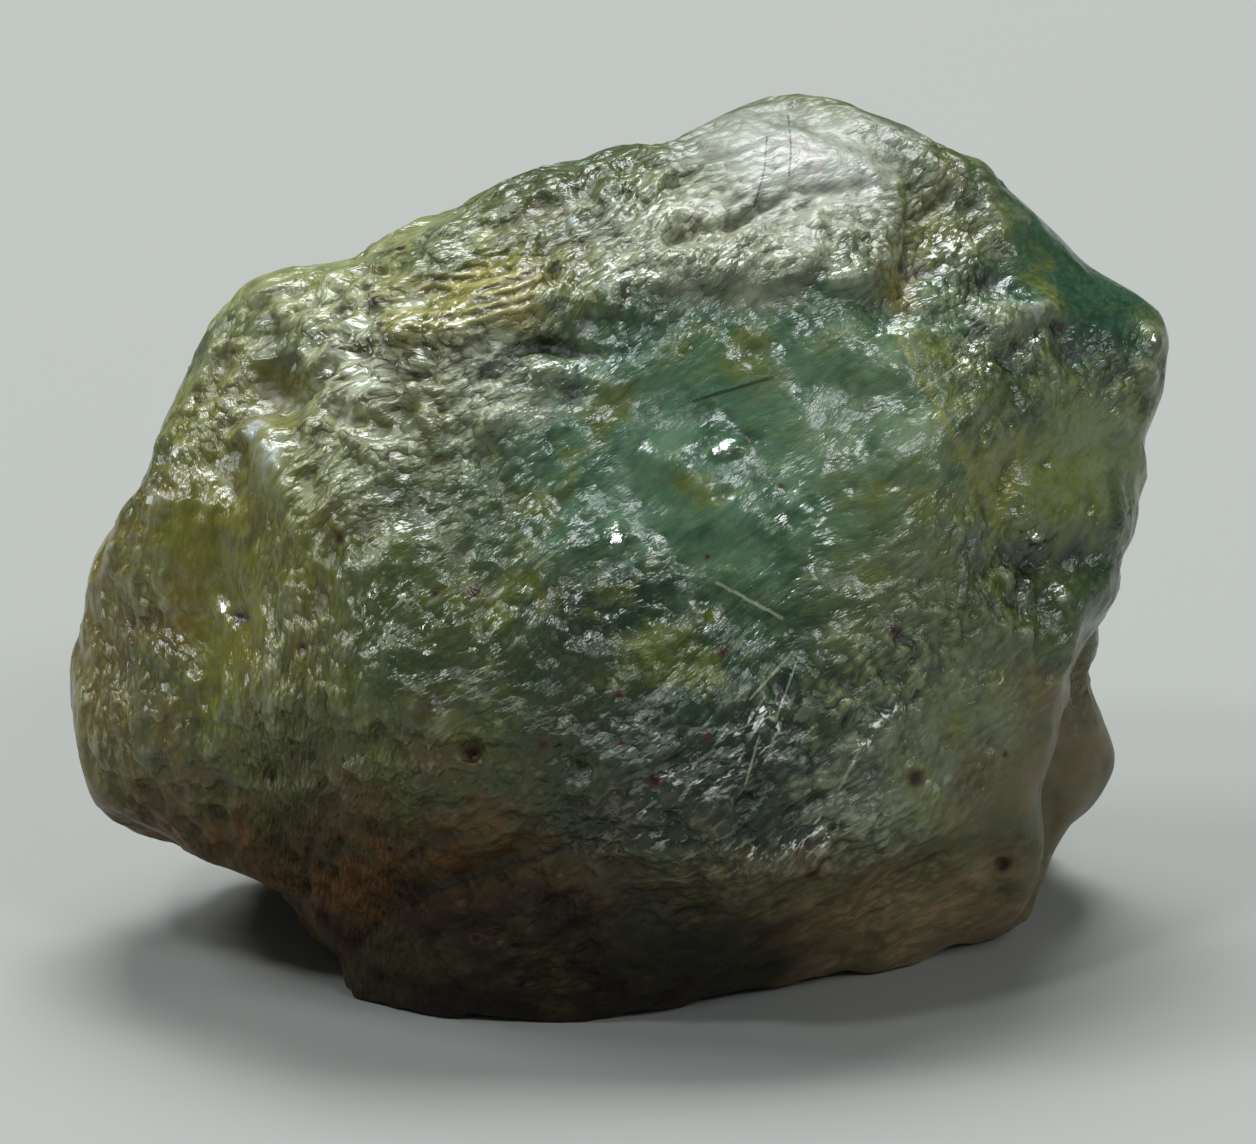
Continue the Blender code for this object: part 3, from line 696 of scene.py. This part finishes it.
# azimuth (0 is the camera's side, positive to the right) and height in degrees, metres away, size
# in metres, radiance
lamps = {
    "overhead": (180.0, 68.0, 0.30, 0.16, 15.0),
    "left side": (-95.0, 48.0, 0.30, 0.08, 15.0),
    "sparkle": (-40.0, 55.0, 0.32, 0.035, 55.0),
    "right front": (64.0, 30.0, 0.30, 0.055, 11.5),
    "glint": (24.0, 46.0, 0.32, 0.055, 16.0),
}


def lampSide(side, height):  # the way from the stone to a lamp, from its two angles in radians
    flat = math.cos(height)
    return Vector((math.sin(side) * flat, -math.cos(side) * flat, math.sin(height)))


def glance(name):  # the way a tiny face has to look to throw that lamp's light to the camera
    side, height = [math.radians(angle) for angle in lamps[name][:2]]
    return np.array((lampSide(side, height) + outAxis).normalized())


def paintStone(mesh, points, normals):  # gives every point what the skin needs to know about its place
    across, up, out = leaning(points)
    flat = np.zeros(len(points))
    facing = normals @ np.array(outAxis)
    onFront = ease(out, -0.5, 0.5) * ease(facing, 0.05, 0.35)
    away = 9.0 * (1.0 - onFront)
    fray = kept(mesh, "fray")
    clouds = kept(mesh, "clouds")
    share = roughness(across, up, facing)
    below = belowEdge(across, up)
    keep(mesh, "body", across, up, out)
    keep(mesh, "grain", *grained(across, up, out).T)
    keep(mesh, "share", share * (0.55 + 0.45 * ease(fray[:, 2], 0.38, 0.56)))
    tint = stoneTint(across, up, out, fray, clouds)
    # how strongly the pale marks show, the painted highlight on crests among them; less on dark colours
    paleMarks = np.clip(tint @ np.array((0.3, 0.6, 0.1)) / 0.16, 0.25, 1.0)
    keep(mesh, "tint", *tint.T, flat + 1.0)
    keep(mesh, "paleMarks", paleMarks * (1.0 - below))
    lowGlass = 0.5 * ease(up - across * 0.1, -0.6, -2.2)
    keep(mesh, "dulled", 1.0 - (1.0 - below) * (1.0 - lowGlass))
    # the stain colour, also painted into the hollows as painted shade
    keep(mesh, "stainAndShade", *stainAndShade(across, up).T, flat + 1.0)
    keep(mesh, "glitter", glittering(across, up, onFront, share, clouds[:, 2]))
    keep(mesh, "crest", hollowness(mesh, points, normals, 24))
    look = blend(np.tile(glance("overhead"), (len(points), 1)), ease(up, -0.6, -1.4), glance("glint"))
    look = blend(look, ease(up, -3.2, -3.6), glance("right front"))
    look = blend(look, ease(across + up * 0.2, -3.0, -4.0), glance("sparkle"))
    keep(mesh, "glance", *look.T)
    keep(mesh, "spots", nearSpots(across, up, rustSpots) + away, nearSpots(across, up, stars) + away,
         oval(across, up, crown["middle"], crown["reach"], 0.0, 0.4))
    for name, lines in (("crack", cracks), ("vein", veins), ("scratch", scratches)):
        side, far = nearLines(across, up, lines)
        keep(mesh, name, side, far + away, flat)


def places(mesh):  # every point of a mesh and its normal
    points = np.empty(len(mesh.vertices) * 3)
    mesh.vertices.foreach_get("co", points)
    normals = np.empty(len(mesh.vertices) * 3, dtype=np.float32)
    mesh.vertex_normals.foreach_get("vector", normals)
    return points.reshape(-1, 3), normals.reshape(-1, 3).astype(float)


easing = {
    "rounds": 30,
    "upright": 0.35,       # a triangle that agrees less than this with its surroundings is folded
}


def unit(rows):  # each row at length one
    least = 1e-20  # keeps a row of no length as it is
    return rows / np.maximum(np.linalg.norm(rows, axis=1), least)[:, None]


# Smooths the few places where the relief folds over itself. A triangle's way is held against the mean way of
# the triangles round each of its corners, and the points of a folded one and their neighbours move to the
# middle of their own neighbours, until nothing is folded.
def easeFolds(mesh, points):
    mesh.calc_loop_triangles()
    corners = np.empty(len(mesh.loop_triangles) * 3, dtype=np.int32)
    mesh.loop_triangles.foreach_get("vertices", corners)
    corners = corners.reshape(-1, 3)
    sides = np.empty(len(mesh.edges) * 2, dtype=np.int32)
    mesh.edges.foreach_get("vertices", sides)
    sides = np.concatenate([sides.reshape(-1, 2), sides.reshape(-1, 2)[:, ::-1]])
    degree = np.bincount(sides[:, 0], minlength=len(points))[:, None]
    for turn in range(easing["rounds"]):
        first, second, third = [points[corners[:, number]] for number in range(3)]
        facing = unit(np.cross(second - first, third - first))
        around = np.zeros_like(points)
        for number in range(3):
            np.add.at(around, corners[:, number], facing)
        around = unit(around)
        agrees = (facing[:, None, :] * around[corners]).sum(axis=2).min(axis=1)
        folded = np.zeros(len(points), dtype=bool)
        folded[corners[agrees < easing["upright"]]] = True
        if not folded.any():
            break
        folded[sides[folded[sides].any(axis=1)]] = True
        middle = np.zeros_like(points)
        np.add.at(middle, sides[:, 0], points[sides[:, 1]])
        points = np.where(folded[:, None], middle / degree, points)
    print("stone: rounds of easing", turn + 1)
    return points


def makeStone(skin):
    print("stone: joining the packed crystal's triangles and cutting them finer")
    blank = bmesh.new()
    blank.from_mesh(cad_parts["crystal"].data)
    bmesh.ops.remove_doubles(blank, verts=blank.verts, dist=0.002 * mm)
    print("stone: open edges", sum(not edge.is_manifold for edge in blank.edges))
    bmesh.ops.subdivide_edges(blank, edges=blank.edges, cuts=relieving["cuts"], use_grid_fill=True)
    cutCombFiner(blank)
    print("stone: open edges once cut", sum(not edge.is_manifold for edge in blank.edges))
    mesh = bpy.data.meshes.new("zirconBlank")
    blank.to_mesh(mesh)
    blank.free()
    for name in ("custom_normal", "sharp_edge", "sharp_face"):
        if name in mesh.attributes:
            mesh.attributes.remove(mesh.attributes[name])
    mesh.materials.clear()
    points, normals = places(mesh)
    across, up, out = leaning(points)
    keep(mesh, "body", across, up, out)
    keep(mesh, "grain", *grained(across, up, out).T)
    keep(mesh, "share", roughness(across, up, normals @ np.array(outAxis)))
    blankStone = bpy.data.objects.new("zirconBlank", mesh)
    bpy.context.scene.collection.objects.link(blankStone)

    print("stone: raising ridges, lumps, flakes and pits")
    tree = wornSkinTree()
    modifier = blankStone.modifiers.new("wornSkin", "NODES")
    modifier.node_group = tree
    sockets = {item.name: item.identifier for item in tree.interface.items_tree if item.in_out == "INPUT"}
    modifier[sockets["Softening"]] = relieving["softening"]
    modifier[sockets["Seed"]] = relieving["seed"]
    modifier[sockets["Skin"]] = skin
    seen = blankStone.evaluated_get(bpy.context.evaluated_depsgraph_get())
    fineMesh = bpy.data.meshes.new_from_object(seen)
    fineMesh.name = "zirconStone"
    blankStone.modifiers.remove(modifier)
    bpy.data.objects.remove(blankStone)

    print("stone: cutting the single forms")
    points, normals = places(fineMesh)
    points = cutForms(points, normals)
    points = raiseComb(fineMesh, points, normals)
    low = np.array(cadBox[0]) + 0.002 * mm
    high = np.array(cadBox[1]) - 0.002 * mm
    low[2] = 0.0
    points = easeFolds(fineMesh, np.clip(points, low, high))
    fineMesh.vertices.foreach_set("co", points.ravel())
    fineMesh.update()
    print("stone: painting")
    paintStone(fineMesh, points, normals)
    stone = bpy.data.objects.new("zirconStone", fineMesh)
    bpy.context.scene.collection.objects.link(stone)
    if not fineMesh.materials:
        fineMesh.materials.append(skin)
    fineMesh.shade_smooth()
    print("stone: triangles", sum(len(face.vertices) - 2 for face in fineMesh.polygons))
    return stone


finish = {
    "gloss": 0.18,         # roughness of the skin where it is worn smooth
    "matt": 0.13,          # added to it where it is rough
    "satin": 0.20,         # added to it on the crown
    "dull": 0.50,          # roughness of the brown rind under the lower edge
    "clear": 0.10,         # share of the light that passes into the stone
    "bending": 1.92,
    "specular": 0.31,
    "depth": 0.68,         # how dark the stone's colours lie under its gloss
    "stretch": 0.34,       # how drawn out the streaks are
    "streak": 0.020,       # mm, the finest raised streaks
    "chipSize": 0.13,      # mm, the small rounded grains, each tilted its own way
    "chipStretch": 0.72,
    "chipHeight": 0.045,   # mm
    "chipTilt": 0.46,
    "glint": 0.13,         # roughness of the glittering steps
    "stepTurn": 0.92,      # how far the glittering steps turn to the light
}


paints = {  # the small touches of colour on the skin
    "cloud": tone(150, 156, 96),
    # painted highlight on the crests
    "crest": tone(196, 200, 160),
    # painted highlight on the grains' tops
    "grain": tone(186, 194, 156),
    # partly painted highlight on the comb's crests and partly painted shade in its gaps
    "comb crest": tone(206, 198, 124),
    "comb gap": tone(88, 76, 22),
    # painted glint
    "glint": tone(214, 218, 200),
    # painted highlight on the raised streaks
    "streak": tone(150, 166, 120),
    "thread": tone(150, 150, 70),
    "rust": tone(88, 52, 26),
    "rust heart": tone(20, 14, 8),
    # painted highlight on the stars
    "star": tone(240, 244, 236),
    "crack": tone(30, 32, 22),
    "vein": tone(152, 152, 70),
    "scratch": tone(206, 212, 176),
}


def makeSkin():
    print("skin: mixing the zircon's colours")
    skin = bpy.data.materials.new("wornGreenZircon")
    skin.use_nodes = True
    tree = skin.node_tree
    tree.nodes.clear()
    sheet = Sheet(tree)

    def told(name, output="Fac"):  # what the stone's points carry
        return sheet.node("ShaderNodeAttribute", {"attribute_name": name}, output=output)

    def parts(name):
        return sheet.node("ShaderNodeSeparateXYZ", {}, {0: told(name, "Vector")})

    streaked = sheet.vector("MULTIPLY", told("grain", "Vector"), (finish["stretch"], 1.0, 1.0))
    share, crest, glint, paleMarks, dulled = [
        told(name) for name in ("share", "crest", "glitter", "paleMarks", "dulled")]
    colour = told("tint", "Color")
    stainAndShadeColour = told("stainAndShade", "Color")

    # streaky clouds, dark veins; crests painted pale as a painted highlight, hollows painted with the stain
    # colour as painted shade, partly stain; calmer where worn
    busy = sheet.calc("MINIMUM", share, 1.0) * 0.52 + 0.48
    cloud = sheet.noise(streaked, size=0.36, detail=2.0, rough=0.6)
    colour = sheet.mix(sheet.step(cloud, 0.54, 0.72, 0.0, 0.35) * paleMarks * busy, colour, paints["cloud"])
    colour = sheet.mix(sheet.step(cloud, 0.46, 0.32, 0.0, 0.45) * busy, colour, stainAndShadeColour)
    thread = sheet.step(abs(cloud - 0.515), 0.012, 0.0, 0.0, 0.45) * paleMarks
    colour = sheet.mix(thread, colour, paints["thread"])
    # painted highlight on the crests, and painted shade in the hollows in the stain colour
    colour = sheet.mix(sheet.step(crest, 0.15, 0.9, 0.0, 0.35) * paleMarks, colour, paints["crest"])
    colour = sheet.mix(sheet.step(crest, -0.06, -0.8, 0.0, 0.80), colour, stainAndShadeColour)

    # too small for the mesh: rounded grains, raised streaks, and small flakes that each tilt their own way
    chip = sheet.chips(sheet.vector("MULTIPLY", told("grain", "Vector"), (finish["chipStretch"], 1.0, 1.0)),
                       size=finish["chipSize"])
    # painted shade in the gaps between the grains and painted highlight on their tops, following the grains'
    # bump
    colour = sheet.mix(sheet.step(chip, 0.42, 0.66, 0.0, 0.6) * share, colour, stainAndShadeColour)
    colour = sheet.mix(sheet.step(chip, 0.40, 0.12, 0.0, 0.35) * share * paleMarks, colour, paints["grain"])
    combParts = parts("comb")  # the curved ridges that the mesh has: pale crests, brown gaps
    combed = combParts.output("Y")
    ripple = sheet.calc("SINE", combParts)
    # partly painted highlight on the comb's crests and partly painted shade in its gaps, following the
    # mesh's ridges
    colour = sheet.mix(sheet.step(ripple, 0.1, 0.9) * combed * 0.65, colour, paints["comb crest"])
    colour = sheet.mix(sheet.step(ripple, -0.2, -0.9) * combed * 0.75, colour, paints["comb gap"])
    streak = sheet.noise(streaked, size=0.09, detail=2.0, rough=0.7)
    spots = parts("spots")
    ragged = (streak - 0.5) * 4.0
    star = sheet.step(spots.output("Y") + ragged, 1.0, 0.6)
    lit = sheet.calc("MAXIMUM", sheet.step(streak, 0.53, 0.58) * glint, star)
    # painted glint: the glittering steps are also painted pale
    colour = sheet.mix(lit * 0.3, colour, paints["glint"])
    # painted highlight on the raised streaks and painted shade between them, following the streaks' bump
    colour = sheet.mix(sheet.step(streak, 0.55, 0.66, 0.0, 0.40) * paleMarks * busy, colour, paints["streak"])
    colour = sheet.mix(sheet.step(streak, 0.47, 0.32, 0.0, 0.40) * busy, colour, stainAndShadeColour)

    # iron spots, white stars and fine lines
    rust = spots + (cloud - 0.5) * 1.6
    colour = sheet.mix(sheet.step(rust, 1.5, 0.7) * 0.8, colour, paints["rust"])
    colour = sheet.mix(sheet.step(rust, 0.9, 0.4) * 0.9, colour, paints["rust heart"])
    # painted highlight: the stars painted white
    colour = sheet.mix(star * 0.8, colour, paints["star"])
    for name, wobble, wide, much in (("crack", 0.8, 1.8, 0.75), ("vein", 0.8, 3.0, 0.55),
                                     ("scratch", 0.6, 1.5, 0.5)):
        line = parts(name)
        offset = abs(line + ragged * wobble)
        mask = sheet.step(offset, wide, 0.4) * sheet.step(line.output("Y"), 0.11, 0.07)
        colour = sheet.mix(mask * much, colour, paints[name])

    colour = sheet.vector("MULTIPLY", colour, [finish["depth"]] * 3)
    height = (streak - 0.5) * (0.20 + 0.80 * share) * (2.0 * finish["streak"])
    height = height - chip * share * finish["chipHeight"]
    normal = sheet.node("ShaderNodeBump", {}, {"Strength": 1.0, "Distance": mm, "Height": height})
    tilt = sheet.vector("SUBTRACT", chip.output("Color"), (0.5, 0.5, 0.5))
    tilted = sheet.vector("ADD", normal, sheet.scaled(tilt, (0.10 + 0.90 * share) * finish["chipTilt"]))
    turned = lit * finish["stepTurn"]
    glancing = sheet.scaled(told("glance", "Vector"), turned)
    normal = sheet.vector("NORMALIZE", sheet.vector("ADD", sheet.scaled(tilted, 1.0 - turned), glancing))

    gloss = share * finish["matt"] + sheet.step(crest, -0.05, -0.8, finish["gloss"], finish["gloss"] + 0.20)
    gloss = gloss + sheet.step(cloud, 0.35, 0.7, 0.0, 0.10) + spots.output("Z") * finish["satin"]
    gloss = gloss * (1.0 - lit) + lit * finish["glint"]
    glassy = sheet.node("ShaderNodeBsdfPrincipled", {}, {
        "Base Color": colour,
        "Roughness": gloss,
        "IOR": finish["bending"],
        "Specular IOR Level": finish["specular"],
        "Transmission Weight": finish["clear"],
        "Normal": normal,
    })
    rind = sheet.node("ShaderNodeBsdfPrincipled", {}, {
        "Base Color": colour,
        "Roughness": finish["dull"],
        "IOR": 1.5,
        "Specular IOR Level": 0.3,
        "Normal": normal,
    })
    skinMix = sheet.node("ShaderNodeMixShader", {}, {0: dulled, 1: glassy, 2: rind})
    end = tree.nodes.new("ShaderNodeOutputMaterial")
    tree.links.new(skinMix.socket, end.inputs["Surface"])
    return skin


studio = {
    "floorTone": (0.292, 0.298, 0.280, 1.0),
    "lampTone": (0.94, 0.98, 1.0),
    "floorReach": 0.9,     # metres
    "sweepFrom": 0.40,     # metres behind the stone
    "bend": 0.12,          # metres, radius of the sweep's bend
    "bendRows": 12,
    "drop": 0.00001,       # metres that the floor lies under the stone's foot
    "sky": 0.13,
}


def makeFloor():
    print("stage: floor and sweep")
    reach = studio["floorReach"]
    start = studio["sweepFrom"]
    bend = studio["bend"]
    drop = studio["drop"]
    rows = [(-reach, -drop), (start, -drop)]
    for part in range(1, studio["bendRows"] + 1):
        turn = math.pi / 2 * part / studio["bendRows"]
        rows.append((start + bend * math.sin(turn), bend * (1.0 - math.cos(turn)) - drop))
    rows.append((start + bend, reach))
    points = [(side * reach, y, z) for y, z in rows for side in (-1.0, 1.0)]
    faces = [(2 * row, 2 * row + 1, 2 * row + 3, 2 * row + 2) for row in range(len(rows) - 1)]
    mesh = bpy.data.meshes.new("studioFloor")
    mesh.from_pydata(points, [], faces)
    mesh.shade_smooth()
    floor = bpy.data.objects.new("studioFloor", mesh)
    bpy.context.scene.collection.objects.link(floor)
    paper = bpy.data.materials.new("palePaper")
    paper.use_nodes = True
    sheet = Sheet(paper.node_tree)
    paper.node_tree.nodes.clear()
    matt = sheet.node("ShaderNodeBsdfPrincipled", {}, {"Base Color": studio["floorTone"], "Roughness": 0.9})
    end = paper.node_tree.nodes.new("ShaderNodeOutputMaterial")
    paper.node_tree.links.new(matt.socket, end.inputs["Surface"])
    mesh.materials.append(paper)


def makeLamps():
    print("stage: lamps")
    for name, (side, height, away, size, radiance) in lamps.items():
        light = bpy.data.lights.new(name, "AREA")
        light.shape = "SQUARE"
        light.size = size
        light.energy = radiance * math.pi * size * size
        light.color = studio["lampTone"]
        lamp = bpy.data.objects.new(name, light)
        aim = lampSide(math.radians(side), math.radians(height))
        lamp.location = stance["inside"] + aim * away
        lamp.rotation_euler = (-aim).to_track_quat("-Z", "Y").to_euler()
        bpy.context.scene.collection.objects.link(lamp)
    world = bpy.data.worlds.new("studioAir")
    world.use_nodes = True
    sky = world.node_tree.nodes["Background"]
    sky.inputs["Color"].default_value = (0.94, 0.98, 1.0, 1.0)
    sky.inputs["Strength"].default_value = studio["sky"]
    bpy.context.scene.world = world


eye = {  # metres, but the sensor in mm
    "sensor": 36.0,
    "away": 0.20,
    "fieldWidth": 0.01713,
    "aimAcross": 0.000109,
    "aimUp": -0.000164,
}


def makeCamera():
    print("stage: camera")
    lens = bpy.data.cameras.new("photoCamera")
    lens.sensor_width = eye["sensor"]
    lens.lens = eye["sensor"] * eye["away"] / eye["fieldWidth"]
    lens.clip_start = 0.01
    camera = bpy.data.objects.new("photoCamera", lens)
    aim = stance["inside"] + acrossAxis * eye["aimAcross"] + upAxis * eye["aimUp"]
    turn = Matrix((acrossAxis, upAxis, outAxis)).transposed()
    camera.matrix_world = Matrix.Translation(aim + outAxis * eye["away"]) @ turn.to_4x4()
    bpy.context.scene.collection.objects.link(camera)
    bpy.context.scene.camera = camera


makeCamera()
makeLamps()
makeFloor()
stone = makeStone(makeSkin())
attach(stone, "root")
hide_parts("crystal")
bpy.context.scene.view_settings.view_transform = "Standard"
